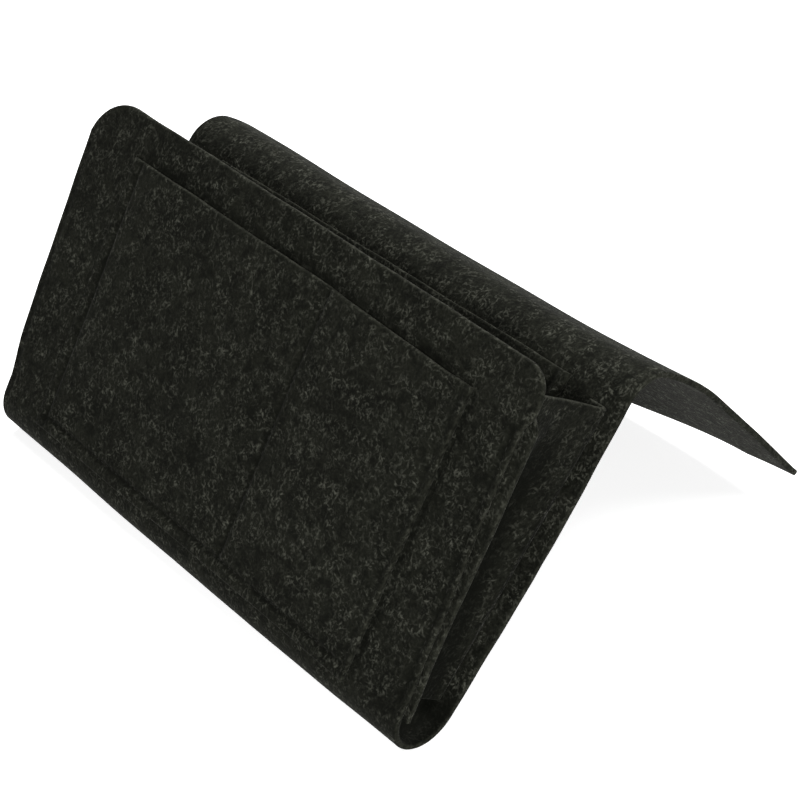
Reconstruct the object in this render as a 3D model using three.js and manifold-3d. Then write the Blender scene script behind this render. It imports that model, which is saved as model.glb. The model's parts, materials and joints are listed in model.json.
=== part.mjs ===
// A felt bedside caddy, in millimetres, +Z up, +X to the right and its pocket facing -Y.
// One long felt sheet makes the tuck-in flap, the ridge, the back panel, the bottom bend and the front panel.
// Two pocket patches are sewn to it, and a folded gusset closes each side of the main pocket.
// It stands as a tent, on its bottom bend and on the end of its flap.
import * as THREE from "three";
import { mergeVertices } from "three/addons/utils/BufferGeometryUtils.js";
import Module from "manifold-3d";

const degrees = THREE.MathUtils.degToRad;

// The felt
const feltThickness = 3.2;
const seamGap = 0.3; // left between two layers that are sewn together
const cutOverrun = 4; // how far a cutting solid runs past what it cuts

// The long sheet, whose lengths run along the middle of the felt
const caddyWidth = 320;
const backHeight = 159; // flat, from the bottom bend to the ridge
const bendRadius = 19.4;
const frontHeight = 167.6; // flat, from the bottom bend to the top edge
const leftLean = degrees(8.9); // the front panel's angle to the back panel, at each end
const rightLean = degrees(12.3);
const leftCornerRadius = 26;
const rightCornerRadius = 14;
const ridgeRadius = 18.6;
const ridgeTurn = degrees(82);
const flapCurveLength = 55; // the flap droops over this stretch, and is flat after it
const flapDroop = degrees(26);
const flapFlatLength = 114;
const flapLift = degrees(9.6); // the near end of the flap droops less
const flapLiftStartShare = 0.3; // of the width, from the left

// The pocket on the front panel, from that panel's edges
const frontPocketLeftMargin = 39.5;
const frontPocketRightMargin = 29.9;
const frontPocketTopMargin = 23;
const frontPocketOverhang = 4.4; // how far it reaches down over the bend

// The pocket inside, on the back panel
const innerPocketSideMargin = 32.5;
const innerPocketTopMargin = 0.5; // below the start of the ridge
const innerPocketBottomMargin = 9.5; // above the bend

// The side gussets, whose heights run along the seams from the bottom bend
const wallInset = 5; // from the panels' side edges to the outside of the gusset wall
const gussetBottom = 3;
const gussetTopMargin = 5; // below the start of the ridge
const rearFlangeWidth = 12;
const frontFlangeTopCut = 14; // its outer corner is cut off by this much
const leftFold = degrees(30); // how far each half of the wall is folded inwards
const rightFold = degrees(15);
const foldGap = 3; // between the rounded edges of a wall's two halves

// Facets
const arcSteps = 20;
const noseSteps = 8;
const widthSteps = 16;
const cornerSteps = 12;

const half = feltThickness / 2;
const halfWidth = caddyWidth / 2;
const gussetTop = backHeight - gussetTopMargin;
const hingeReach = half + seamGap; // from a fold's axis to the edge of the felt that stays behind
const wallOffset = 2 * feltThickness + 2 * seamGap; // from a panel's middle to a gusset wall's fold axis
const wallPlace = halfWidth - wallInset - half; // x of a gusset wall's middle at its seams

const wasm = await Module();
wasm.setup();

function solidOf(geometry) {
  const bare = geometry.clone().deleteAttribute("normal").deleteAttribute("uv");
  const merged = mergeVertices(bare, seamGap / 1000);
  return new wasm.Manifold(
    new wasm.Mesh({
      numProp: 3,
      vertProperties: merged.attributes.position.array,
      triVerts: new Uint32Array(merged.index.array),
    }),
  );
}

function geometryOf(solid) {
  const mesh = solid.getMesh();
  const geometry = new THREE.BufferGeometry();
  geometry.setAttribute("position", new THREE.BufferAttribute(mesh.vertProperties, 3));
  geometry.setIndex(new THREE.BufferAttribute(mesh.triVerts, 1));
  const faceted = geometry.toNonIndexed();
  faceted.computeVertexNormals();
  return faceted;
}

function felt(name, geometry) {
  const material = new THREE.MeshStandardMaterial({ color: 0x26261f, roughness: 0.95, metalness: 0 });
  const mesh = new THREE.Mesh(geometry, material);
  mesh.name = name;
  return mesh;
}

// Joins equal outlines, one at each station, into a closed solid. place turns outline and station into x, y, z.
function loft(stations, outlineAt, place) {
  const rings = stations.map((station) => outlineAt(station));
  if (THREE.ShapeUtils.isClockWise(rings[0])) rings.forEach((ring) => ring.reverse());
  const count = rings[0].length;
  const positions = rings.flatMap((ring, i) => ring.flatMap((point) => place(point, stations[i])));
  const faces = [];
  for (let i = 0; i + 1 < rings.length; i++) {
    for (let j = 0; j < count; j++) {
      const here = i * count + j;
      const beside = i * count + ((j + 1) % count);
      faces.push(here, beside, beside + count, here, beside + count, here + count);
    }
  }
  const last = (rings.length - 1) * count;
  for (const [a, b, c] of THREE.ShapeUtils.triangulateShape(rings[0], [])) faces.push(c, b, a);
  for (const [a, b, c] of THREE.ShapeUtils.triangulateShape(rings.at(-1), [])) faces.push(last + a, last + b, last + c);
  const geometry = new THREE.BufferGeometry();
  geometry.setAttribute("position", new THREE.Float32BufferAttribute(positions, 3));
  geometry.setIndex(faces);
  const faceted = geometry.toNonIndexed();
  faceted.computeVertexNormals();
  return faceted;
}

const acrossWidth = (point, x) => [x, point.x, point.y]; // outlines of the sheet lie in the Y-Z plane
const alongSeam = (point, z) => [point.x, point.y, z];

function evenly(from, to, steps) {
  return Array.from({ length: steps + 1 }, (_, i) => THREE.MathUtils.lerp(from, to, i / steps));
}

// Walks in the Y-Z plane: heading 0 is up and a positive turn bends towards +Y. Gives the stops on the way.
function walk(start, heading, stretches) {
  const at = start.clone();
  const stops = [{ at: at.clone(), heading }];
  for (const { length, turn = 0 } of stretches) {
    const steps = turn === 0 ? 1 : arcSteps;
    const bite = turn / steps;
    const chord = bite === 0 ? length : (length / turn) * 2 * Math.sin(bite / 2);
    for (let i = 0; i < steps; i++) {
      at.x += chord * Math.sin(heading + bite / 2);
      at.y += chord * Math.cos(heading + bite / 2);
      heading += bite;
      stops.push({ at: at.clone(), heading });
    }
  }
  return stops;
}

// The point beside a stop, to the right of the way walked.
function beside({ at, heading }, distance) {
  return new THREE.Vector2(at.x + distance * Math.cos(heading), at.y - distance * Math.sin(heading));
}

// The outline of a layer along a walk, between two distances from its middle.
function layer(stops, near, far) {
  return [...stops.map((stop) => beside(stop, near)), ...stops.map((stop) => beside(stop, far)).reverse()];
}

// The same for the felt itself, with a half-round edge about its first stop, which is a fold's axis.
function roundedLayer(stops) {
  const { at, heading } = stops[0];
  const nose = evenly(0, Math.PI, noseSteps)
    .slice(1, -1)
    .map((turn) => beside({ at, heading: heading + turn }, half));
  return [...layer(stops, -half, half), ...nose];
}

const halfBend = (bendRadius * Math.PI) / 2;
const halfRidge = (ridgeRadius * ridgeTurn) / 2;

function leanAt(x) {
  return THREE.MathUtils.mapLinear(x, -halfWidth, halfWidth, leftLean, rightLean);
}

function liftAt(x) {
  const liftStart = THREE.MathUtils.lerp(-halfWidth, halfWidth, flapLiftStartShare);
  return flapLift * THREE.MathUtils.smoothstep(x, liftStart, halfWidth);
}

// The back panel starts beside the lowest point of the bend and ends beside the middle of the ridge.
const bendMiddle = walk(new THREE.Vector2(), Math.PI, [{ length: halfBend, turn: Math.PI / 2 }]).at(-1);
const ridgeMiddle = walk(new THREE.Vector2(), 0, [
  { length: backHeight },
  { length: halfRidge, turn: ridgeTurn / 2 },
]).at(-1);

function backWalk() {
  const bendShort = hingeReach / bendRadius;
  const ridgeShort = hingeReach / ridgeRadius;
  const down = walk(new THREE.Vector2(), Math.PI, [
    { length: halfBend - hingeReach, turn: Math.PI / 2 - bendShort },
  ]).at(-1);
  return walk(down.at, down.heading - Math.PI, [
    { length: halfBend - hingeReach, turn: bendShort - Math.PI / 2 },
    { length: backHeight },
    { length: halfRidge - hingeReach, turn: ridgeTurn / 2 - ridgeShort },
  ]);
}

function frontWalk(x) {
  const turn = Math.PI / 2 - leanAt(x);
  return walk(bendMiddle.at, bendMiddle.heading, [{ length: bendRadius * turn, turn }, { length: frontHeight }]);
}

function flapWalk(x) {
  return walk(ridgeMiddle.at, ridgeMiddle.heading, [
    { length: halfRidge, turn: ridgeTurn / 2 },
    { length: flapCurveLength, turn: flapDroop - liftAt(x) },
    { length: flapFlatLength },
  ]);
}

// Where the flat of the front panel starts, in the middle of the felt.
function frontFoot(lean) {
  return new THREE.Vector2(-bendRadius * (1 + Math.cos(lean)), -bendRadius * Math.sin(lean));
}

// A group on the front panel: its X runs along the width, Y up the panel and Z out of its front.
function onFront(lean, ...contents) {
  const group = new THREE.Group().add(...contents);
  const foot = frontFoot(lean);
  group.position.set(0, foot.x, foot.y);
  group.rotation.x = Math.PI / 2 + lean;
  group.updateMatrixWorld(true);
  return group;
}

function backPanel() {
  const stops = backWalk();
  return felt("back_panel", loft([-halfWidth, halfWidth], () => layer(stops, -half, half), acrossWidth));
}

function tuckInFlap() {
  const stations = evenly(-halfWidth, halfWidth, widthSteps);
  return felt("tuck_in_flap", loft(stations, (x) => roundedLayer(flapWalk(x)), acrossWidth));
}

// What rounding takes off the top corner at one side of the front panel, in place on that panel.
function cornerCut(side, radius, lean) {
  const edge = side * halfWidth;
  const past = side * (halfWidth + cutOverrun);
  const inside = side * (halfWidth - radius);
  const outline = new THREE.Shape();
  outline.moveTo(past, frontHeight + cutOverrun);
  outline.lineTo(inside, frontHeight + cutOverrun);
  for (const turn of evenly(0, Math.PI / 2, cornerSteps)) {
    outline.lineTo(inside + side * radius * Math.sin(turn), frontHeight - radius * (1 - Math.cos(turn)));
  }
  outline.lineTo(edge + side * cutOverrun, frontHeight - radius);
  const depth = 2 * (feltThickness + cutOverrun);
  const cut = new THREE.Mesh(new THREE.ExtrudeGeometry(outline, { depth, bevelEnabled: false }));
  cut.position.z = -depth / 2;
  onFront(lean, cut);
  return cut.geometry.applyMatrix4(cut.matrixWorld);
}

function frontPanel() {
  const stations = evenly(-halfWidth, halfWidth, widthSteps);
  const whole = solidOf(loft(stations, (x) => roundedLayer(frontWalk(x)), acrossWidth));
  const leftCut = solidOf(cornerCut(-1, leftCornerRadius, leftLean));
  const rightCut = solidOf(cornerCut(1, rightCornerRadius, rightLean));
  return felt("front_panel", geometryOf(whole.subtract(leftCut).subtract(rightCut)));
}

// The patch pocket lies on the front panel and twists with it.
function frontPocket() {
  const left = frontPocketLeftMargin - halfWidth;
  const right = halfWidth - frontPocketRightMargin;
  const height = frontHeight - frontPocketTopMargin + frontPocketOverhang;
  const outlineAt = (x) => {
    const lean = leanAt(x);
    const up = new THREE.Vector2(-Math.sin(lean), Math.cos(lean));
    const foot = frontFoot(lean).addScaledVector(up, -frontPocketOverhang);
    const stops = walk(foot, -lean, [{ length: height }]);
    return layer(stops, -half - seamGap, -half - seamGap - feltThickness);
  };
  return felt("front_pocket", loft(evenly(left, right, widthSteps), outlineAt, acrossWidth));
}

function innerPocket() {
  const width = caddyWidth - 2 * innerPocketSideMargin;
  const height = backHeight - innerPocketTopMargin - innerPocketBottomMargin;
  const mesh = felt("inner_pocket", new THREE.BoxGeometry(width, feltThickness, height));
  mesh.position.y = -feltThickness - seamGap;
  mesh.position.z = innerPocketBottomMargin + height / 2;
  return mesh;
}

// The gusset's edge that is turned inwards and sewn to the back panel.
function rearFlange(side, name) {
  const mesh = felt(name, new THREE.BoxGeometry(rearFlangeWidth, feltThickness, gussetTop - gussetBottom));
  mesh.position.x = side * (halfWidth - wallInset - rearFlangeWidth / 2);
  mesh.position.y = -feltThickness - seamGap;
  mesh.position.z = (gussetTop + gussetBottom) / 2;
  return mesh;
}

// The gusset's edge that is turned outwards and sewn behind the front panel, flush with its side.
function frontFlange(side, name) {
  const fold = side * (wallPlace - half);
  const outline = new THREE.Shape();
  outline.moveTo(fold, gussetBottom);
  outline.lineTo(side * halfWidth, gussetBottom);
  outline.lineTo(side * halfWidth, gussetTop - frontFlangeTopCut);
  outline.lineTo(fold, gussetTop);
  const mesh = felt(name, new THREE.ExtrudeGeometry(outline, { depth: feltThickness, bevelEnabled: false }));
  mesh.position.z = -half - seamGap - feltThickness;
  return mesh;
}

// One half of a gusset wall: Z runs up its seam, X from the seam to the fold between the halves.
// Both seams meet in one point below the bend, the apex, and so does the fold between the halves.
function gussetHalf(lean, fold, name) {
  const foldSlope = Math.tan(lean / 2) / Math.cos(fold);
  const apex = (frontFoot(lean).x + wallOffset * (1 + Math.cos(lean))) / Math.sin(lean);
  const outlineAt = (height) => {
    const reach = (height - apex) * foldSlope - (half + foldGap / 2) / Math.cos(fold);
    return [...roundEnd(0, -1), ...roundEnd(reach, 1)];
  };
  return felt(name, loft([gussetBottom, gussetTop], outlineAt, alongSeam));
}

// The half-round edge of a layer at x, bulging to one side, anticlockwise.
function roundEnd(x, side) {
  return evenly(-Math.PI / 2, Math.PI / 2, noseSteps).map(
    (turn) => new THREE.Vector2(x + side * half * Math.cos(turn), side * half * Math.sin(turn)),
  );
}

// A group that turns about an axis through its origin. Its contents keep their place in the caddy.
function hinge(name, place, ...contents) {
  const group = new THREE.Group();
  const inside = new THREE.Group().add(...contents);
  group.name = name;
  group.position.copy(place);
  inside.position.copy(place).negate();
  return group.add(inside);
}

// A gusset half on its seam, turned about it from +X to the way that it points.
function seam(name, side, away, fold, part) {
  const group = new THREE.Group().add(part);
  group.name = name;
  part.rotation.z = Math.atan2(away * Math.cos(fold), -side * Math.sin(fold));
  return group;
}

function rearSeam(side, word, lean, fold) {
  const group = seam(word + "_gusset_rear_fold", side, -1, fold, gussetHalf(lean, fold, word + "_gusset_rear_half"));
  group.position.set(side * wallPlace, -wallOffset, 0);
  return group;
}

// On the front panel the seam runs along Y, so the half is stood up on it.
function frontSeam(side, word, lean, fold) {
  const group = seam(word + "_gusset_front_fold", side, 1, fold, gussetHalf(lean, fold, word + "_gusset_front_half"));
  group.rotation.x = -Math.PI / 2;
  group.position.set(side * wallPlace, 0, -wallOffset);
  return group;
}

// How far the caddy leans back so that bend and flap both touch the floor.
function floorLean() {
  const end = beside(flapWalk(-halfWidth).at(-1), half);
  const fromBend = end.clone().sub(new THREE.Vector2(-bendRadius, 0));
  return fromBend.angle() + Math.asin((bendRadius + half) / fromBend.length());
}

function caddy() {
  const upright = new THREE.Group();
  upright.add(backPanel(), innerPocket());
  upright.add(rearFlange(-1, "left_gusset_rear_flange"), rearFlange(1, "right_gusset_rear_flange"));
  upright.add(rearSeam(-1, "left", leftLean, leftFold), rearSeam(1, "right", rightLean, rightFold));
  const leftFront = onFront(
    leftLean,
    frontFlange(-1, "left_gusset_front_flange"),
    frontSeam(-1, "left", leftLean, leftFold),
  );
  const rightFront = onFront(
    rightLean,
    frontFlange(1, "right_gusset_front_flange"),
    frontSeam(1, "right", rightLean, rightFold),
  );
  const bendAxis = new THREE.Vector3(0, bendMiddle.at.x, bendMiddle.at.y);
  const ridgeAxis = new THREE.Vector3(0, ridgeMiddle.at.x, ridgeMiddle.at.y);
  upright.add(hinge("pocket_mouth", bendAxis, frontPanel(), frontPocket(), leftFront, rightFront));
  upright.add(hinge("flap_fold", ridgeAxis, tuckInFlap()));
  upright.rotation.x = -floorLean();

  const whole = new THREE.Group().add(upright);
  whole.updateMatrixWorld(true);
  const box = new THREE.Box3().setFromObject(whole, true);
  upright.position.set(0, -(box.min.y + box.max.y) / 2, -box.min.z);
  return whole;
}

export default caddy();
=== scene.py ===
"""A felt bedside caddy, stood as a tent on its bottom bend and on the end of its flap.

Lengths are in millimetres, on the caddy held upright: x runs along its width, y from the pocket to the
back, and z up the back panel. place() leans it back onto the floor and turns millimetres into metres.
"""

import json
import math

import bpy
import numpy as np
from mathutils import Matrix


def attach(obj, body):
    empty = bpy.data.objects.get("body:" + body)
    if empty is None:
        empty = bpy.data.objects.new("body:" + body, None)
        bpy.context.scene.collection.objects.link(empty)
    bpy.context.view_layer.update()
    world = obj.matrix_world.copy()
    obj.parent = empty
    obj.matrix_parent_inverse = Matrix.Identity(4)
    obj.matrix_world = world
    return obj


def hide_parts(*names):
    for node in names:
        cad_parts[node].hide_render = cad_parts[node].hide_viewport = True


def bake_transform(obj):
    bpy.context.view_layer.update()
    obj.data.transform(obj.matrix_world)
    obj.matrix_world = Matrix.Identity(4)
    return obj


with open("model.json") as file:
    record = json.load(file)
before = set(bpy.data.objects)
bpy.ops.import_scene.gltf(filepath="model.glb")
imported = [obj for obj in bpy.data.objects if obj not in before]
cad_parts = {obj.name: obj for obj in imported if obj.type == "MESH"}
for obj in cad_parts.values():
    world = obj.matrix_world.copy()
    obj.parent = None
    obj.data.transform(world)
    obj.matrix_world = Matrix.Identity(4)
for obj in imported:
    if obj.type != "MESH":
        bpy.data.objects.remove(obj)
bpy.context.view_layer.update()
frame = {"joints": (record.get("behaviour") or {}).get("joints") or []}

# The felt and its thread
FELT = 3.2
SEAM_GAP = 0.3
EDGE_ROUNDING = 1.0
THREAD = 0.55
STITCH = 4.0
STITCH_MARGIN = 6.5  # from a patch's edge to its seam
SEAM_DIP = 1.4  # how deep a seam pulls the felt in
SEAM_WIDTH = 1.4
SEAM_POINTS = (-3.4, -2.2, -1.4, -0.7, 0, 0.7, 1.4, 2.2, 3.4)  # where a mesh has points round a seam
SEAM_CLEARING = 4  # no other points of the mesh lie this close to a seam
SIDE_MARGIN = 3.6  # from the front panel's side to the gusset's seam
MARGIN_SLOPE = 0.7  # how far the felt outside that seam bends back

# The long sheet
WIDTH = 320
BACK_HEIGHT = 159
BEND_RADIUS = 19.4
FRONT_HEIGHT = 167.6
LEFT_LEAN = math.radians(8.9)
RIGHT_LEAN = math.radians(12.3)
LEFT_CORNER = 29
RIGHT_CORNER = 14
RIDGE_RADIUS = 18.6
RIDGE_TURN = math.radians(82)
FLAP_CURVE = 55
FLAP_DROOP = math.radians(26)
FLAP_FLAT = 114
FLAP_LIFT = math.radians(9.6)
FLAP_LIFT_START = -64
SPLIT_HEIGHT = 80  # the sheet's two meshes meet here, on the flat of the back panel
MOUTH_FLARE = {-1: 7.8, 1: 5.4}  # how much further out the front panel's sides are cut at its mouth
SEAM_PULL = {-1: 0, 1: 3.2}  # how far the gusset's seam draws the front panel's side in, towards its top
FLANGE_SHOWS = {-1: 0.8, 1: 2.2}  # how far the gusset's flange stands out beyond that side
BEND_CUT_IN = {-1: 5.8, 1: -2.0}  # how much shorter the bend is at its ends
BACK_BOW = {-1: 0, 1: 1.8}  # how far the back panel's sides bow out
RIDGE_RISE = (-1.9, -1.5, 2.8, 2.4)  # the ridge sags, and rises at its right end: a cubic across the width
INNER_SHADE_BELOW = 14  # the inner face round the bend is painted in shade from this far down the back panel
INNER_SHADE_ABOVE = 22  # to this far up the front panel

# The patches
FRONT_POCKET_LEFT = -119.5
FRONT_POCKET_RIGHT = 130
FRONT_POCKET_TOP = FRONT_HEIGHT - 23
FRONT_POCKET_BOTTOM = FRONT_POCKET_TOP - 147
FRONT_POCKET_SEAMS = (-112.5, 126.2)
FRONT_POCKET_RISE = 2.6  # its top is cut this much higher over most of its width than at its right end
FRONT_POCKET_SLACK = 1.1  # how far it stands off the panel between its seams
DIVIDER = 35.2
SEAM_TIGHTNESS = {"left": 0.8, "divider": 1, "right": 0.55}
POCKET_SLANT = 0.03  # the divider and the right side lean out by this share of their height
INNER_POCKET_SIDE = 127.5
INNER_POCKET_TOP = 158.5
INNER_POCKET_BOTTOM = 9.5
INNER_SEAM = INNER_POCKET_SIDE - STITCH_MARGIN

# The gussets
GUSSET_CREASE = 153.4  # x of the wall's middle at its seams
GUSSET_BOTTOM = 3
GUSSET_TOP = 154
GUSSET_CUT = 12  # how much lower the front flange ends than the wall
GUSSET_DROP = 5  # how much lower it starts
GUSSET_PARTS = ("rear_flange", "rear_half", "front_half", "front_flange")
REAR_FLANGE_INSIDE = 143
CREASE_RADIUS = 2.6
REAR_SEAM = (REAR_FLANGE_INSIDE + GUSSET_CREASE - CREASE_RADIUS) / 2
FOLD_RADIUS = 12
LEFT_FOLD = math.radians(28)
LEFT_PRESS = math.radians(4)
RIGHT_FOLD = math.radians(4)
RIGHT_PRESS = math.radians(17)  # the right wall is pressed in between its flatter top and bottom
PRESSED_LINE = 1.2  # the width of the line pressed along the rear crease, and painted darker there as its shade
PRESSED_LINE_BACK = 1.6  # how far before the crease's end it lies
PRESSED_FROM = 17.5  # the right wall is pressed, and painted darker as shade, from this far before its middle fold
PRESSED_TO = 9  # to this far after it

# Where each piece's pattern starts, far enough apart that no two pieces show the same felt
FRONT_POCKET_PATTERN = 1000
INNER_POCKET_PATTERN = 2000
GUSSET_PATTERNS = {-1: 2700, 1: 3300}

# The stage, in metres
FLOOR_REACH = 1.6
FLOOR_DROP = 0.0004
FLOOR_GLOW = 0.6  # added where the camera sees the floor
ROOM_LIGHT = 0.12  # the room's level, where white is 1
CAMERA_PLACE = (0.5732, -0.51482, 0.61796)
CAMERA_FORWARD = (-0.59239, 0.5406, -0.59735)
CAMERA_UP = (-0.45241, 0.3903, 0.80187)
CAMERA_LENS = 83.19  # in millimetres, as is the sensor
CAMERA_SENSOR = 36
LAMPS_AIM = (0, 0, 0.1)

joints = {joint["name"]: joint for joint in frame["joints"]}
bend_axis = np.array(joints["pocket_mouth"]["pos_m"]) * 1000
up_the_back = np.array(joints["left_gusset_rear_fold"]["axis"], float)
up_the_back /= np.linalg.norm(up_the_back)
to_the_back = np.array([0, up_the_back[2], -up_the_back[1]])
upright_origin = bend_axis + BEND_RADIUS * (up_the_back + to_the_back)


def place(x, y, z):
    """Points of the upright caddy, in the part's metres."""
    x, y, z = np.broadcast_arrays(x, y, z)
    points = upright_origin + y[..., None] * to_the_back + z[..., None] * up_the_back
    points[..., 0] += x
    return points / 1000


# The forms of the sheet


def smooth(share):
    share = np.clip(share, 0, 1)
    return share * share * (3 - 2 * share)


def follow(start, heading, stretches, distance):
    """Walks along the middle of the felt through stretches of (length, turn).

    Gives the place and the heading after a distance.
    """
    first, second = start
    left = np.asarray(distance, float)
    for length, turn in stretches:
        walked = np.clip(left, 0, length)
        turned = turn * walked / length
        chord = walked * np.sinc(turned / (2 * np.pi))
        first = first + chord * np.sin(heading + turned / 2)
        second = second + chord * np.cos(heading + turned / 2)
        heading = heading + turned
        left = left - walked
    left = left + np.minimum(np.asarray(distance, float), 0)
    return first + left * np.sin(heading), second + left * np.cos(heading), heading


def lean_at(x):
    return LEFT_LEAN + (RIGHT_LEAN - LEFT_LEAN) * (x / WIDTH + 0.5)


def unevenness(x, s):
    """The felt never lies quite flat: long, low swells, a few tenths of a millimetre high."""
    swell = np.sin(x / 31 + 0.7) * np.cos(s / 43 - 0.4) + 0.7 * np.sin(x / 67 - s / 38 + 2.1)
    return 0.28 * swell + 0.12 * np.sin(x / 13.7 + s / 17.3)


def side_line(side, up):
    """How far out the sides of the front are at a height, and round the bend below it."""
    bend = smooth((up + 2.5 * BEND_RADIUS) / (2.5 * BEND_RADIUS)) * (1 - 0.6 * smooth(up / 32))
    return WIDTH / 2 - BEND_CUT_IN[side] * bend + MOUTH_FLARE[side] * np.maximum(up / FRONT_HEIGHT, 0)


def side_edge(side, up):
    """The front panel's own side, drawn in along its seam to the gusset and free above it."""
    return side_line(side, up) - SEAM_PULL[side] * smooth((up - 45) / 55) * smooth((148 - up) / 9)


def back_edge(side, up):
    return WIDTH / 2 + BACK_BOW[side] * np.sin(np.pi * np.clip(up / BACK_HEIGHT, 0, 1))


def widened(x, edge, up):
    """Moves a point of the flat sheet out with the side edge that it is nearest."""
    left, right = edge(-1, up) - WIDTH / 2, edge(1, up) - WIDTH / 2
    return x - left * np.clip(-x / (WIDTH / 2), 0, 1) + right * np.clip(x / (WIDTH / 2), 0, 1)


def bulge(x, round_bend):
    """The bend isn't quite straight along the caddy: fuller round its middle, drawn in at its right end."""
    along = 1.2 * smooth((x + 100) / 90) * smooth((115 - x) / 60) - 0.6 * smooth((x - 105) / 40)
    return along * np.sin(np.pi * np.clip((round_bend - 0.22) / 0.72, 0, 1)) ** 2


def upper_sheet(x, s, h):
    """From the split up the back panel, over the ridge and down the flap. h is positive on the bed's side."""
    across = x / (WIDTH / 2)
    rise = sum(share * across**power for power, share in enumerate(RIDGE_RISE))
    lift = FLAP_LIFT * smooth((x - FLAP_LIFT_START) / (WIDTH / 2 - FLAP_LIFT_START))
    lift = lift - np.minimum(rise, 0) * 1.5 / FLAP_FLAT
    stretches = [
        (BACK_HEIGHT - SPLIT_HEIGHT + rise, 0),
        (RIDGE_RADIUS * RIDGE_TURN, RIDGE_TURN),
        (FLAP_CURVE, FLAP_DROOP - lift),
        (FLAP_FLAT, 0),
    ]
    y, z, heading = follow((0, SPLIT_HEIGHT), 0, stretches, s)
    h = h + unevenness(x, s)
    return place(x, y + h * np.cos(heading), z - h * np.sin(heading))


def lower_sheet(x, s, h):
    """From the split down the back panel, round the bend and up the front. h is positive outside."""
    turn = np.pi - lean_at(x)
    stretches = [(SPLIT_HEIGHT, 0), (BEND_RADIUS * turn, turn), (FRONT_HEIGHT, 0)]
    y, z, heading = follow((0, SPLIT_HEIGHT), np.pi, stretches, s)
    h = h + unevenness(x, -s) + bulge(x, (s - SPLIT_HEIGHT) / (BEND_RADIUS * turn))
    return place(x, y - h * np.cos(heading), z + h * np.sin(heading))


def on_front(x, up, h):
    return lower_sheet(x, SPLIT_HEIGHT + BEND_RADIUS * (np.pi - lean_at(x)) + up, h)


def on_back(x, up, h):
    return place(x, h + unevenness(x, up - SPLIT_HEIGHT), up)


# Meshes of felt


def new_piece(name, points, faces):
    mesh = bpy.data.meshes.new(name)
    mesh.from_pydata(points, [], faces)
    piece = bpy.data.objects.new(name, mesh)
    bpy.context.collection.objects.link(piece)
    return piece


def spread(low, high, step, fine=()):
    """Positions from low to high, closer together round each seam."""
    steps = max(1, round((high - low) / step))
    found = list(np.linspace(low, high, steps + 1))
    for seam in fine:
        found = [p for p in found if abs(p - seam) > SEAM_CLEARING or p in (low, high)]
        found += [seam + off for off in SEAM_POINTS if low + 1 < seam + off < high - 1]
    return np.array(sorted(found))


def grid_of(xs, ss):
    x, s = np.meshgrid(xs, ss)
    return np.stack([x, s], -1)


def unshaded(x, s):
    return 0 * x


def pattern_from(start):
    """Draws a piece's pattern from its own place in the flat felt."""

    def lie(flat, height):
        return np.column_stack([flat + start, height])

    return lie


def felt_mesh(name, cut, surface, pressed, lie=pattern_from(0), joined=False, inner_shade=unshaded):
    """A closed layer of felt with softly rounded cut edges.

    cut is a grid of points in the flat felt, and surface gives the place of a flat point at a height off the
    middle. pressed says how much the outer face is pressed down there, from 0 to 1; the same share darkens
    it, partly as painted shade. The last argument gives how much painted shade lies on the inner face round
    a bend. lie turns the points into the flat place that the felt's pattern is drawn on.
    These are kept in attributes. A joined sheet goes on without a cut edge at its first row.
    """
    cut = cut + hand_cut(cut[..., 0], cut[..., 1])
    rows, columns = cut.shape[:2]
    index = np.arange(rows * columns).reshape(rows, columns)
    rim = np.concatenate([index[0, :-1], index[:-1, -1], index[-1, :0:-1], index[:0:-1, 0]])
    outline = cut.reshape(-1, 2)[rim]
    along = np.roll(outline, -1, 0) - np.roll(outline, 1, 0)
    along /= np.linalg.norm(along, axis=1)[:, None]
    outward = np.stack([along[:, 1], -along[:, 0]], 1)
    if joined:
        outward[: columns] *= (0, 0)
        outward[0], outward[columns - 1] = (-1, 0), (1, 0)
    face = cut.reshape(-1, 2).copy()
    face[rim] -= EDGE_ROUNDING * outward
    half = FELT / 2
    rings = []
    for turn in np.radians([30, 60, 90]):
        out = EDGE_ROUNDING * (math.sin(turn) - 1)
        rings.append((outline + out * outward, half - EDGE_ROUNDING * (1 - math.cos(turn))))
    rings += [(points, -height) for points, height in reversed(rings)]
    flat = np.concatenate([face, *[points for points, _ in rings], face])
    height = np.concatenate(
        [np.full(len(face), half), *[np.full(len(rim), h) for _, h in rings], np.full(len(face), -half)]
    )
    press = pressed(flat[:, 0], flat[:, 1])
    points = surface(flat[:, 0], flat[:, 1], np.where(height > 0, height - SEAM_DIP * press, height))

    count = len(face)
    under = count + len(rings) * len(rim)
    quads = np.stack([index[:-1, :-1], index[:-1, 1:], index[1:, 1:], index[1:, :-1]], -1).reshape(-1, 4)
    loops = [rim, *[count + i * len(rim) + np.arange(len(rim)) for i in range(len(rings))], rim + under]
    faces = [quads, quads[:, ::-1] + under]
    for above, below in zip(loops, loops[1:]):
        faces.append(np.stack([above, below, np.roll(below, -1), np.roll(above, -1)], 1))
    faces = np.concatenate(faces)
    corners = points[faces[:, :3]]
    volume = np.einsum("ij,ij->", corners[:, 0], np.cross(corners[:, 1], corners[:, 2]))
    if volume < 0:
        faces = faces[:, ::-1]

    piece = new_piece(name, points.tolist(), faces.tolist())
    piece.data.shade_smooth()
    piece.data.set_sharp_from_angle(angle=math.radians(50))
    pattern = piece.data.attributes.new("felt_place", "FLOAT_VECTOR", "POINT")
    pattern.data.foreach_set("vector", (lie(flat, height) / 1000).ravel())
    # The outer face's pressing, partly painted shade, and the painted shade on the inner face darken the felt
    inside = inner_shade(flat[:, 0], flat[:, 1]) * smooth(-height / half)
    pressed_and_shaded_layer = piece.data.attributes.new("felt_pressed_and_shaded", "FLOAT", "POINT")
    pressed_and_shaded_layer.data.foreach_set("value", np.where(height > 0, press, inside))
    return piece


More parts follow.
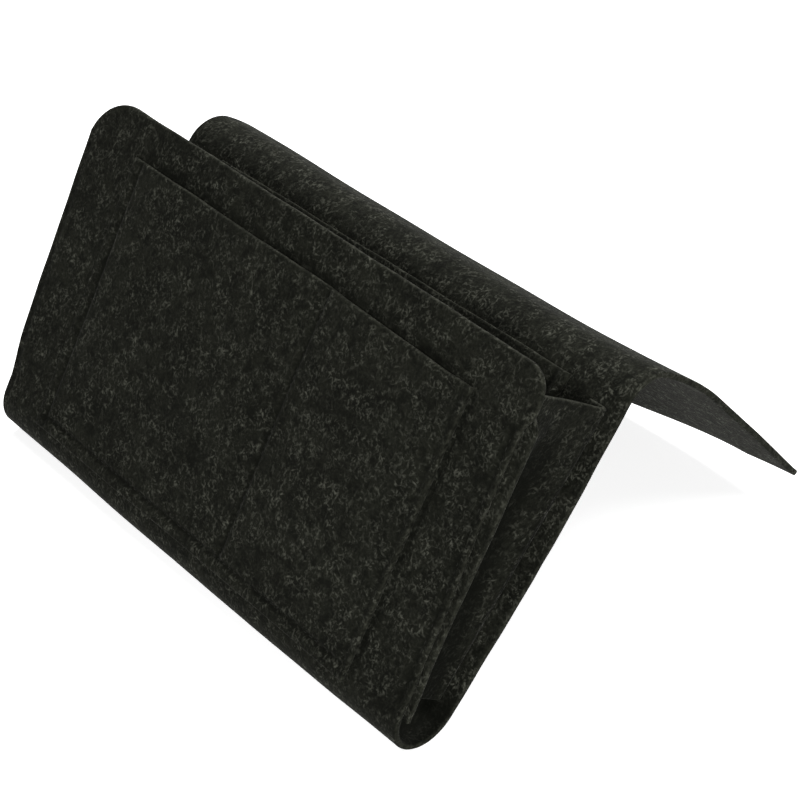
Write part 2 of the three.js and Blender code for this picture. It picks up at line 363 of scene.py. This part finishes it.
def hand_cut(x, s):
    """The shears waver a few tenths of a millimetre along a cut edge."""
    sideways = 0.16 * (np.sin(s / 11) + 0.5 * np.sin(s / 4.7))
    lengthways = 0.16 * (np.sin(x / 13 + 1) + 0.5 * np.sin(x / 5.3 + 2)) * smooth(np.abs(s) / 20)
    return np.stack([sideways, lengthways], -1)


def groove(distance, along):
    """A seam's groove, from 0 to 1 at its bottom. No two stitches are drawn quite as tight."""
    tightness = 0.84 + 0.16 * np.sin(along / 3.1) * np.sin(along / 7.7 + 1)
    # The groove's share also darkens the felt: pressed felt, and partly painted shade in the groove.
    return np.exp(-((distance / SEAM_WIDTH) ** 2)) * tightness


def between(value, low, high, fade=3):
    """1 from low to high, fading to 0 at both."""
    return smooth((value - low) / fade) * smooth((high - value) / fade)


def pressed_at_back(x, up):
    """The seams of the gussets and the inner pocket, as they show on the back panel's face to the bed."""
    inner_bottom = INNER_POCKET_BOTTOM + STITCH_MARGIN
    flanges = groove(np.abs(x) - REAR_SEAM, up) * between(up, GUSSET_BOTTOM, GUSSET_TOP)
    sides = groove(np.abs(x) - INNER_SEAM, up) * between(up, inner_bottom - 2, INNER_POCKET_TOP)
    bottom = groove(up - inner_bottom, x) * between(np.abs(x), -9, INNER_SEAM + 2)
    return np.maximum(np.maximum(flanges, sides), bottom)


def back_and_flap():
    ridge_start = BACK_HEIGHT - SPLIT_HEIGHT
    ridge_end = ridge_start + RIDGE_RADIUS * RIDGE_TURN
    flap_end = ridge_end + FLAP_CURVE + FLAP_FLAT
    ss = [*spread(0, ridge_start, 5)[:-1], *spread(ridge_start, ridge_end, 2)[:-1]]
    ss += [*spread(ridge_end, flap_end, 4)]
    xs = spread(-WIDTH / 2, WIDTH / 2, 5, (-REAR_SEAM, REAR_SEAM, -INNER_SEAM, INNER_SEAM))
    cut = grid_of(xs, ss)
    cut[..., 0] = widened(cut[..., 0], back_edge, cut[..., 1] + SPLIT_HEIGHT)

    def pressed(x, s):
        return pressed_at_back(x, s + SPLIT_HEIGHT)

    return felt_mesh("back_and_flap_sheet", cut, upper_sheet, pressed, joined=True)


def corner_shares(radius, first):
    """How far in and down the rounded corner's outline is, at turns that suit a grid."""
    turns = np.radians([0, first, *np.arange(first + 7, 88, 7), 90])
    return radius * (1 - np.cos(turns)), radius * (1 - np.sin(turns))


def bend_and_front():
    bend_end = SPLIT_HEIGHT + BEND_RADIUS * (np.pi - bend_lean())
    top = bend_end + FRONT_HEIGHT
    band = top - 40  # above this the rows are squeezed together to follow the rounded corners
    left_in, left_down = corner_shares(LEFT_CORNER, 18)
    right_in, right_down = corner_shares(RIGHT_CORNER, 26)
    fine = (-INNER_SEAM, INNER_SEAM, FRONT_POCKET_RIGHT + 1)
    middle = spread(-WIDTH / 2 + LEFT_CORNER, WIDTH / 2 - RIGHT_CORNER, 5, fine)[1:-1]
    xs = np.concatenate([left_in - WIDTH / 2, middle, (WIDTH / 2 - right_in)[::-1]])
    drop = np.concatenate([left_down, np.zeros(len(middle)), right_down[::-1]])
    inner_bottom = SPLIT_HEIGHT - INNER_POCKET_BOTTOM - STITCH_MARGIN
    ss = [*spread(0, SPLIT_HEIGHT, 5, (inner_bottom,))[:-1], *spread(SPLIT_HEIGHT, bend_end, 2)[:-1]]
    ss += [*spread(bend_end, top, 4, (bend_end + FRONT_POCKET_TOP + 1.5,))]
    cut = grid_of(xs, ss)
    upper = cut[..., 1] > band
    squeezed = band + (cut[..., 1] - band) * (top - drop - band) / (top - band)
    cut[..., 1] = np.where(upper, squeezed, cut[..., 1])
    cut[..., 0] = np.where(
        cut[..., 1] < SPLIT_HEIGHT,
        widened(cut[..., 0], back_edge, SPLIT_HEIGHT - cut[..., 1]),
        widened(cut[..., 0], side_edge, cut[..., 1] - bend_end),
    )

    def inset(x, up):
        return np.where(x < 0, side_edge(-1, up), side_edge(1, up)) - np.abs(x)

    def pressed(x, s):
        up = s - bend_end
        front = groove(inset(x, up) - SIDE_MARGIN, up) * between(up, GUSSET_BOTTOM, GUSSET_TOP - GUSSET_CUT)
        # The panel gives way round the patch's edges, and is painted darker there as the patch's contact
        # shade.
        front = np.maximum(front, 0.7 * beside_pocket(x, up))
        return np.maximum(pressed_at_back(x, SPLIT_HEIGHT - s), front)

    def surface(x, s, h):
        up = s - bend_end
        sewn = between(up, GUSSET_BOTTOM, GUSSET_TOP - GUSSET_CUT)
        slope = MARGIN_SLOPE * smooth((SIDE_MARGIN - inset(x, up)) / SIDE_MARGIN) * sewn
        # The panel starts a little later at the left, where the bend turns further.
        late = smooth(up) * BEND_RADIUS * (bend_lean() - lean_at(x))
        return lower_sheet(x, s + late, np.where(h > 0, h - slope, h))

    def lie(flat, height):
        return np.column_stack([flat[:, 0], -flat[:, 1], height])

    def inner_shade(x, s):
        """Painted shade on the inner face round the bend, and a little way up both panels."""
        return between(s, SPLIT_HEIGHT - INNER_SHADE_BELOW, bend_end + INNER_SHADE_ABOVE, 14)

    return felt_mesh("bend_and_front_sheet", cut, surface, pressed, lie, joined=True, inner_shade=inner_shade)


def bend_lean():
    return (LEFT_LEAN + RIGHT_LEAN) / 2


def slanted(x, up):
    """Leans a line of the front pocket out by POCKET_SLANT, and the lines left of the divider by less."""
    share = np.clip((x - FRONT_POCKET_LEFT) / (DIVIDER - FRONT_POCKET_LEFT), 0, 1)
    return x + POCKET_SLANT * share * (up - FRONT_POCKET_TOP / 2)


def pocket_top(x):
    return FRONT_POCKET_TOP + FRONT_POCKET_RISE * (1 - smooth((x - 10) / 120))


def beside_pocket(x, up):
    """The narrow line round the patch's edges where the panel gives way and is painted darker as shade, as a
    share from 0 to 1.
    """
    right = slanted(FRONT_POCKET_RIGHT, up)
    rise = between(up, FRONT_POCKET_BOTTOM - 1, pocket_top(x) + 1, 1)
    across = between(x, FRONT_POCKET_LEFT - 1, right + 1, 1)
    sides = np.maximum(groove((FRONT_POCKET_LEFT - x - 0.6) / 1.2, up), groove((x - right - 0.6) / 1.2, up))
    return np.maximum(sides * rise, groove((up - pocket_top(x) - 0.6) / 1.2, x) * across)


def front_pocket():
    left, right = FRONT_POCKET_SEAMS
    bottom_seam = FRONT_POCKET_BOTTOM + STITCH_MARGIN
    xs = spread(FRONT_POCKET_LEFT, FRONT_POCKET_RIGHT, 4, (left, DIVIDER, right))
    cut = grid_of(xs, spread(FRONT_POCKET_BOTTOM, FRONT_POCKET_TOP, 4, (bottom_seam,)))
    share = (cut[..., 1] - FRONT_POCKET_BOTTOM) / (FRONT_POCKET_TOP - FRONT_POCKET_BOTTOM)
    cut[..., 1] += share * (pocket_top(cut[..., 0]) - FRONT_POCKET_TOP)
    cut[..., 0] = slanted(cut[..., 0], cut[..., 1])

    def pressed(x, up):
        drawn = zip((left, DIVIDER, right), SEAM_TIGHTNESS.values())
        upright = sum(depth * groove(x - slanted(seam, up), up) for seam, depth in drawn)
        upright = upright * smooth((up - bottom_seam + 4) / 3)
        along = groove(up - bottom_seam, x) * between(x, left - 2, right + 2)
        return np.maximum(upright, along)

    def surface(x, up, h):
        inside = np.clip((x - left) * (right - x) / 3000, 0, 1) * np.clip(np.abs(x - DIVIDER) / 30, 0, 1)
        slack = FRONT_POCKET_SLACK * smooth(inside) * smooth((up - bottom_seam) / 60)
        return on_front(x, up, h + FELT + SEAM_GAP + slack)

    return felt_mesh("front_pocket_patch", cut, surface, pressed, pattern_from(FRONT_POCKET_PATTERN))


def inner_pocket():
    xs = spread(-INNER_POCKET_SIDE, INNER_POCKET_SIDE, 5, (-INNER_SEAM, INNER_SEAM))
    bottom_seam = INNER_POCKET_BOTTOM + STITCH_MARGIN
    ups = spread(INNER_POCKET_BOTTOM, INNER_POCKET_TOP, 5, (bottom_seam,))

    def pressed(x, up):
        sides = groove(np.abs(x) - INNER_SEAM, up) * smooth((up - bottom_seam + 4) / 3)
        return np.maximum(sides, groove(up - bottom_seam, x) * between(np.abs(x), -9, INNER_SEAM + 2))

    def surface(x, up, h):
        return on_back(x, up, -(h + FELT + SEAM_GAP))

    lie = pattern_from(INNER_POCKET_PATTERN)
    return felt_mesh("inner_pocket_patch", grid_of(xs, ups), surface, pressed, lie)


def gusset_stretches(side, up, depth):
    """The gusset's section from the inside of its rear flange to the outside of its front flange."""
    fold, press = (LEFT_FOLD, LEFT_PRESS) if side < 0 else (RIGHT_FOLD, RIGHT_PRESS)
    up_the_wall = np.clip((up - GUSSET_BOTTOM) / (GUSSET_TOP - GUSSET_BOTTOM), 0, 1)
    fold = fold + press * np.sin(np.pi * up_the_wall) ** 2
    edge = side_line(side, up) + FLANGE_SHOWS[side]
    reach = depth - 2 * (FELT + SEAM_GAP) - 2 * CREASE_RADIUS - 2 * FOLD_RADIUS * np.sin(fold)
    wall = reach / (2 * np.cos(fold))
    rear = GUSSET_CREASE - CREASE_RADIUS - REAR_FLANGE_INSIDE
    front = edge - REAR_FLANGE_INSIDE - rear - 2 * CREASE_RADIUS * np.cos(fold)
    quarter = math.pi / 2
    return [
        (rear, 0),
        (CREASE_RADIUS * (quarter + fold), -(quarter + fold)),
        (wall, 0),
        (FOLD_RADIUS * 2 * fold, 2 * fold),
        (wall, 0),
        (CREASE_RADIUS * (quarter - fold), quarter - fold),
        (front, 0),
    ]


def gusset(name, side):
    def depth_at(up):
        across = on_front(side * GUSSET_CREASE, up, 0) - on_back(side * GUSSET_CREASE, up, 0)
        return 1000 * np.linalg.norm(across, axis=-1)

    def surface(d, up, h):
        depth = depth_at(up)
        start = (REAR_FLANGE_INSIDE, FELT + SEAM_GAP)
        x, inward, heading = follow(start, math.pi / 2, gusset_stretches(side, up, depth), d)
        x = side * (x + h * np.cos(heading))
        share = ((inward - h * np.sin(heading)) / depth)[:, None]
        return on_back(x, up, 0) * (1 - share) + on_front(x, up, 0) * share

    steps = [4, 6, 8, 8, 8, 6, 3]  # of the mesh, in each stretch
    shares = np.linspace(0, 1, 22)
    cut = np.zeros((len(shares), sum(steps) + 1, 2))
    for column in range(cut.shape[1]):
        stretch = int(np.searchsorted(np.cumsum(steps), column))
        within = (column - sum(steps[:stretch])) / steps[stretch]
        cut_corner = within if stretch == len(steps) - 1 else 0
        bottom = GUSSET_BOTTOM - GUSSET_DROP * cut_corner
        ups = bottom + shares * (GUSSET_TOP - bottom - GUSSET_CUT * cut_corner)
        lengths = [length + 0 * ups for length, _ in gusset_stretches(side, ups, depth_at(ups))]
        cut[:, column, 0] = sum(lengths[:stretch]) + lengths[stretch] * within
        cut[:, column, 1] = ups

    def pressed(d, up):
        """The folds press the felt: a line along the rear crease, and at the right a band at the middle fold.

        The line's darker look is also painted shade in the crease's groove, and the band's is painted shade
        behind the front panel's side.
        """
        lengths = [length + 0 * up for length, _ in gusset_stretches(side, up, depth_at(up))]
        rear_crease = lengths[0] + lengths[1] - PRESSED_LINE_BACK
        fold = lengths[0] + lengths[1] + lengths[2] + lengths[3] / 2
        line = 0.8 * np.exp(-(((d - rear_crease) / PRESSED_LINE) ** 2))
        band = smooth((d - fold + PRESSED_FROM) / 9) * smooth((fold + PRESSED_TO - d) / 7)
        band = band * smooth((GUSSET_TOP - 2 - up) / 30)
        return np.maximum(line, band if side > 0 else 0)

    return felt_mesh(name, cut, surface, pressed, pattern_from(GUSSET_PATTERNS[side]))


# Thread


def stitch_row(surface, from_point, to_point, h):
    """Stitches along a seam, each a short arc of thread that dives into the felt at its ends."""
    start, end = np.array(from_point, float), np.array(to_point, float)
    count = max(1, round(np.linalg.norm(end - start) / STITCH))
    sides, rings = 6, 7
    points, faces = [], []
    for n in range(count):
        share = (n + 0.5 + 0.4 * np.linspace(-1, 1, rings)) / count
        flat = start + share[:, None] * (end - start)
        rise = 0.05 - 0.5 * np.linspace(-1, 1, rings) ** 4
        side = math.copysign(1, h)
        middle = surface(flat[:, 0], flat[:, 1], np.full(rings, h + side * rise))
        foot = surface(flat[:, 0], flat[:, 1], np.full(rings, float(h)))
        outward = surface(flat[:, 0], flat[:, 1], np.full(rings, h + side)) - foot
        outward /= np.linalg.norm(outward, axis=1)[:, None]
        along = np.gradient(middle, axis=0)
        along /= np.linalg.norm(along, axis=1)[:, None]
        across = np.cross(along, outward)
        width = THREAD / 2000 * np.sqrt(1.02 - 0.9 * np.linspace(-1, 1, rings) ** 6)
        base = len(points)
        for ring in range(rings):
            for corner in range(sides):
                turn = 2 * math.pi * corner / sides
                spoke = math.cos(turn) * across[ring] + math.sin(turn) * outward[ring]
                points.append(middle[ring] + width[ring] * spoke)
        for ring in range(rings - 1):
            for corner in range(sides):
                a = base + ring * sides + corner
                b = base + ring * sides + (corner + 1) % sides
                faces.append((a, b, b + sides, a + sides))
        faces.append(tuple(base + corner for corner in reversed(range(sides))))
        faces.append(tuple(base + (rings - 1) * sides + corner for corner in range(sides)))
    return points, faces


def seams(name, rows):
    points, faces = [], []
    for row in rows:
        more_points, more_faces = stitch_row(*row)
        faces += [tuple(i + len(points) for i in face) for face in more_faces]
        points += more_points
    piece = new_piece(name, [tuple(point) for point in points], faces)
    piece.data.shade_smooth()
    return piece


def front_pocket_seams():
    left, right = FRONT_POCKET_SEAMS
    bottom, top = FRONT_POCKET_BOTTOM + STITCH_MARGIN, FRONT_POCKET_TOP - 1.5
    lines = [((slanted(x, bottom), bottom), (slanted(x, top), top)) for x in (left, DIVIDER, right)]
    lines.append(((left, bottom), (slanted(right, bottom), bottom)))
    outside = FELT / 2 + FELT + SEAM_GAP - SEAM_DIP
    rows = [(on_front, a, b, outside) for a, b in lines] + [(on_front, a, b, -FELT / 2) for a, b in lines]
    return seams("front_pocket_stitches", rows)


def gusset_front_seams():
    rows = []
    for side in (-1, 1):
        ups = np.linspace(GUSSET_BOTTOM + 1, GUSSET_TOP - GUSSET_CUT - 2, 9)
        line = [(side * (float(side_edge(side, up)) - SIDE_MARGIN), up) for up in ups]
        rows += [(on_front, a, b, FELT / 2 - SEAM_DIP) for a, b in zip(line, line[1:])]
    return seams("gusset_front_stitches", rows)


def back_seams():
    """The thread of the rear flanges and of the inner pocket, on both faces."""
    outside = FELT / 2 - SEAM_DIP
    on_flange = -(FELT / 2 + FELT + SEAM_GAP)
    on_patch = -(FELT / 2 + FELT + SEAM_GAP - SEAM_DIP)
    bottom = INNER_POCKET_BOTTOM + STITCH_MARGIN
    rows = []
    for side in (-1, 1):
        flange = ((side * REAR_SEAM, GUSSET_BOTTOM + 2), (side * REAR_SEAM, GUSSET_TOP - 2))
        upright = ((side * INNER_SEAM, bottom), (side * INNER_SEAM, INNER_POCKET_TOP - 2))
        rows += [(on_back, *flange, outside), (on_back, *flange, on_flange)]
        rows += [(on_back, *upright, outside), (on_back, *upright, on_patch)]
    along = ((-INNER_SEAM, bottom), (INNER_SEAM, bottom))
    rows += [(on_back, *along, outside), (on_back, *along, on_patch)]
    return seams("back_panel_stitches", rows)


# Materials


def linear(colour):
    """A #rrggbb colour in linear light, with alpha 1."""
    values = [int(colour[i : i + 2], 16) / 255 for i in (1, 3, 5)]
    return [v / 12.92 if v <= 0.04045 else ((v + 0.055) / 1.055) ** 2.4 for v in values] + [1]


def add(tree, kind, settings=None, **links):
    """A node of a kind, with its settings, and its inputs set or linked by name, or by number as in0, in1."""
    node = tree.nodes.new(kind)
    for key, value in (settings or {}).items():
        setattr(node, key, value)
    for key, value in links.items():
        name = key.replace("_", " ")
        numbered = name.startswith("in") and name[2:].isdigit()
        socket = node.inputs[int(name[2:]) if numbered else name]
        if isinstance(value, bpy.types.NodeSocket):
            tree.links.new(value, socket)
        else:
            socket.default_value = value
    return node


def new_material(name):
    material = bpy.data.materials.new(name)
    material.use_nodes = True
    tree = material.node_tree
    tree.nodes.clear()
    return material, tree


def charcoal_felt():
    """Needled polyester felt, flecked charcoal: dark fibres with paler ones among them, and no gloss.

    Loose fibre ends give it a soft bloom where it is seen edge on, and make its cut edges look paler.
    """
    material, tree = new_material("needled charcoal felt")
    where = add(tree, "ShaderNodeAttribute", {"attribute_name": "felt_place"}).outputs["Vector"]

    def math_node(operation, a, b=0.0, c=0.0):
        return add(tree, "ShaderNodeMath", {"operation": operation}, in0=a, in1=b, in2=c).outputs[0]

    def share_between(value, low, high):
        return add(tree, "ShaderNodeMapRange", Value=value, From_Min=low, From_Max=high).outputs[0]

    def fibres(angle, length, width, low, high, offset):
        """Streaks about length by width millimetres, lying at an angle, as a 0 to 1 share."""
        turn = math.radians(angle)
        scale = (1000 / length, 1000 / width, 1000 / width)
        shift = (offset, offset, 0)
        turned = add(tree, "ShaderNodeVectorRotate", {"rotation_type": "Z_AXIS"}, Vector=where, Angle=turn)
        sized = add(tree, "ShaderNodeVectorMath", {"operation": "MULTIPLY"}, in0=turned.outputs[0], in1=scale)
        moved = add(tree, "ShaderNodeVectorMath", {"operation": "ADD"}, in0=sized.outputs[0], in1=shift)
        streaks = add(
            tree,
            "ShaderNodeTexNoise",
            Vector=moved.outputs[0],
            Scale=1.0,
            Detail=2.0,
            Roughness=0.5,
            Distortion=0.15,
        )
        return share_between(streaks.outputs[0], low, high)

    def noise(size, low, high, detail=2.0):
        """Soft blotches, size in millimetres, as a 0 to 1 share."""
        cloud = add(tree, "ShaderNodeTexNoise", Vector=where, Scale=1000 / size, Detail=detail, Roughness=0.6)
        return share_between(cloud.outputs[0], low, high)

    def mix(share, first, second):
        return add(tree, "ShaderNodeMix", {"data_type": "RGBA"}, in0=share, in6=first, in7=second).outputs[2]

    # Single fibres are some 0.03 mm thick. Tufts are drawn instead, coarse enough to show in the render.
    tufts = [fibres(angle, 3.2, 1.7, 0.57, 0.80, 7.0 * i) for i, angle in enumerate((18, 62, 97, 141))]
    flecks = tufts[0]
    for tuft in tufts[1:]:
        flecks = math_node("MAXIMUM", flecks, tuft)
    grain = noise(1.5, 0.3, 0.72)
    clumps = noise(9, 0.39, 0.62, 2.5)
    banks = noise(34, 0.32, 0.68)
    hollows = math_node("MAXIMUM", noise(5.5, 0.50, 0.34), fibres(78, 4.4, 1.9, 0.58, 0.74, 53.0))
    pale = math_node("MULTIPLY", flecks, math_node("MULTIPLY_ADD", clumps, 0.9, 0.12))
    lint = fibres(70, 1.8, 0.9, 0.80, 0.86, 31.0)

    tone = math_node("MULTIPLY_ADD", banks, 0.4, math_node("MULTIPLY", grain, 0.6))
    colour = mix(tone, linear("#090a07"), linear("#21221c"))
    colour = mix(pale, colour, linear("#57584f"))
    colour = mix(math_node("MULTIPLY", hollows, 0.7), colour, linear("#080906"))
    colour = mix(lint, colour, linear("#8e8e86"))
    # Pressed felt has its pale fibre ends pushed under, and looks darker. The same darkening is also
    # painted shade: in the seams' grooves, along the front pocket's edges, in the gussets' creases and fold,
    # and on the inner face round the bend.
    pressed = add(tree, "ShaderNodeAttribute", {"attribute_name": "felt_pressed_and_shaded"}).outputs["Fac"]
    colour = mix(math_node("MULTIPLY", pressed, 0.85), colour, linear("#080906"))
    level = math_node("ABSOLUTE", add(tree, "ShaderNodeSeparateXYZ", Vector=where).outputs[2])
    cut = share_between(level, (FELT / 2 - 0.05) / 1000, (FELT / 2 - 0.6) / 1000)
    ends = math_node("MULTIPLY", cut, math_node("MULTIPLY", noise(2.6, 0.36, 0.64), 0.26))
    colour = mix(ends, colour, linear("#48493f"))
    height = math_node("ADD", math_node("MULTIPLY", flecks, 0.6), math_node("MULTIPLY", grain, 0.6))
    bump = add(tree, "ShaderNodeBump", Height=height, Strength=0.55, Distance=0.0004)
    shader = add(
        tree,
        "ShaderNodeBsdfPrincipled",
        Base_Color=colour,
        Roughness=0.93,
        IOR=1.48,
        Specular_IOR_Level=0.06,
        Sheen_Weight=math_node("MULTIPLY_ADD", pale, 0.2, 0.03),
        Sheen_Roughness=0.35,
        Sheen_Tint=linear("#c8c8c0"),
        Normal=bump.outputs[0],
    )
    add(tree, "ShaderNodeOutputMaterial", Surface=shader.outputs[0])
    return material


def black_thread():
    """Spun polyester sewing thread in the felt's own colour. It is smoother, so it catches faint light."""
    material, tree = new_material("spun polyester thread")
    where = add(tree, "ShaderNodeTexCoord").outputs["Object"]
    twist = add(tree, "ShaderNodeTexNoise", Vector=where, Scale=1000 / 0.5, Detail=1.0)
    dark, pale = linear("#0b0b08"), linear("#1e1f1a")
    colour = add(tree, "ShaderNodeMix", {"data_type": "RGBA"}, in0=twist.outputs[0], in6=dark, in7=pale)
    bump = add(tree, "ShaderNodeBump", Height=twist.outputs[0], Strength=0.4, Distance=0.0001)
    shader = add(
        tree,
        "ShaderNodeBsdfPrincipled",
        Base_Color=colour.outputs[2],
        Roughness=0.7,
        IOR=1.5,
        Specular_IOR_Level=0.15,
        Normal=bump.outputs[0],
    )
    add(tree, "ShaderNodeOutputMaterial", Surface=shader.outputs[0])
    return material


def seen_directly(tree):
    """1 for what is seen, directly or in a gloss or through something clear, and 0 for light on the caddy."""
    path = add(tree, "ShaderNodeLightPath")
    seen = path.outputs["Is Camera Ray"]
    for ray in ("Is Glossy Ray", "Is Transmission Ray"):
        either = add(tree, "ShaderNodeMath", {"operation": "MAXIMUM"}, in0=seen, in1=path.outputs[ray])
        seen = either.outputs[0]
    return seen


def white_surface(name):
    """Matt white, seen brighter than the lamps alone would make it, but with the shadow on it.

    It throws less light back than white would, so that the felt keeps its depth in the seams and sides.
    """
    material, tree = new_material(name)
    seen = seen_directly(tree)
    glow = add(tree, "ShaderNodeMath", {"operation": "MULTIPLY"}, in0=seen, in1=FLOOR_GLOW)
    thrown, shown = linear("#9c9c9c"), linear("#f4f4f4")
    colour = add(tree, "ShaderNodeMix", {"data_type": "RGBA"}, in0=seen, in6=thrown, in7=shown)
    shader = add(
        tree,
        "ShaderNodeBsdfPrincipled",
        Base_Color=colour.outputs[2],
        Roughness=0.9,
        Specular_IOR_Level=0.1,
        Emission_Color=(1, 1, 1, 1),
        Emission_Strength=glow.outputs[0],
    )
    add(tree, "ShaderNodeOutputMaterial", Surface=shader.outputs[0])
    return material


# The stage


def floor():
    corners = [(x * FLOOR_REACH, y * FLOOR_REACH, 0) for x, y in ((-1, -1), (1, -1), (1, 1), (-1, 1))]
    ground = new_piece("floor", corners, [(0, 1, 2, 3)])
    ground.location.z = -FLOOR_DROP
    ground.data.materials.append(white_surface("matt white table"))


def sky():
    world = bpy.data.worlds.new("white room")
    bpy.context.scene.world = world
    world.use_nodes = True
    tree = world.node_tree
    tree.nodes.clear()
    settings = {"operation": "MULTIPLY_ADD"}
    level = add(tree, "ShaderNodeMath", settings, in0=seen_directly(tree), in1=1 - ROOM_LIGHT, in2=ROOM_LIGHT)
    background = add(tree, "ShaderNodeBackground", Color=(1, 1, 1, 1), Strength=level.outputs[0])
    add(tree, "ShaderNodeOutputWorld", Surface=background.outputs[0])


def soft_light(name, place_m, size, power):
    light = bpy.data.lights.new(name, "AREA")
    light.shape = "DISK"
    light.size = size
    light.energy = power
    lamp = bpy.data.objects.new(name, light)
    bpy.context.collection.objects.link(lamp)
    lamp.matrix_world = looking(place_m, np.array(LAMPS_AIM, float) - np.array(place_m, float), (0, 0, 1))


def looking(place_m, forward, up):
    """A matrix at a place whose -Z looks forward and whose Y is as near to up as can be."""
    back = -np.array(forward, float) / np.linalg.norm(forward)
    right = np.cross(up, back)
    right /= np.linalg.norm(right)
    matrix = np.eye(4)
    matrix[:3, :4] = np.column_stack([right, np.cross(back, right), back, place_m])
    return Matrix(matrix.tolist())


def camera():
    data = bpy.data.cameras.new("camera")
    data.lens = CAMERA_LENS
    data.sensor_width = CAMERA_SENSOR
    eye = bpy.data.objects.new("camera", data)
    bpy.context.collection.objects.link(eye)
    eye.matrix_world = looking(CAMERA_PLACE, CAMERA_FORWARD, CAMERA_UP)
    bpy.context.scene.camera = eye


# The caddy


def point(surface, x, s, h=0.0):
    return tuple(surface(np.array([float(x)]), np.array([float(s)]), np.array([float(h)]))[0])


def dress(piece, material, *nodes):
    piece.data.materials.append(material)
    if nodes:
        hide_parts(*nodes)
    return piece


def build():
    felt, thread = charcoal_felt(), black_thread()
    ridge_start = BACK_HEIGHT - SPLIT_HEIGHT
    ridge_end = ridge_start + RIDGE_RADIUS * RIDGE_TURN

    upper = dress(back_and_flap(), felt, "back_panel", "tuck_in_flap")
    start, end = point(upper_sheet, 0, ridge_start - 4), point(upper_sheet, 0, ridge_end + 4)
    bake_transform(upper)

    lower = dress(bend_and_front(), felt, "back_panel", "front_panel")
    tuple(place(0, 0, 0))
    tuple(place(0, -1.75 * BEND_RADIUS, 0))
    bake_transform(lower)

    patch = dress(front_pocket(), felt, "front_pocket")
    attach(patch, "front")
    inner = dress(inner_pocket(), felt, "inner_pocket")
    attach(inner, "back")

    behind = FELT + SEAM_GAP + CREASE_RADIUS
    for word, side in (("left", -1), ("right", 1)):
        nodes = [f"{word}_gusset_{part}" for part in GUSSET_PARTS]
        piece = dress(gusset(f"{word}_gusset", side), felt, *nodes)
        x = side * GUSSET_CREASE
        start, end = point(on_front, x, 80, -(behind + 38)), point(on_front, x, 80, -behind)
        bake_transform(piece)

    threads = ((front_pocket_seams(), "front"), (gusset_front_seams(), "front"), (back_seams(), "back"))
    for piece, body in threads:
        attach(dress(piece, thread), body)


build()
floor()
sky()
soft_light("soft box behind", (-0.5, 0.9, 1.6), 0.9, 37)
soft_light("soft box in front", (1.2, -1.14, 0.9), 0.4, 24)
soft_light("soft box overhead", (0.81, -0.35, 1.79), 0.4, 9)
camera()
bpy.context.scene.view_settings.view_transform = "Standard"
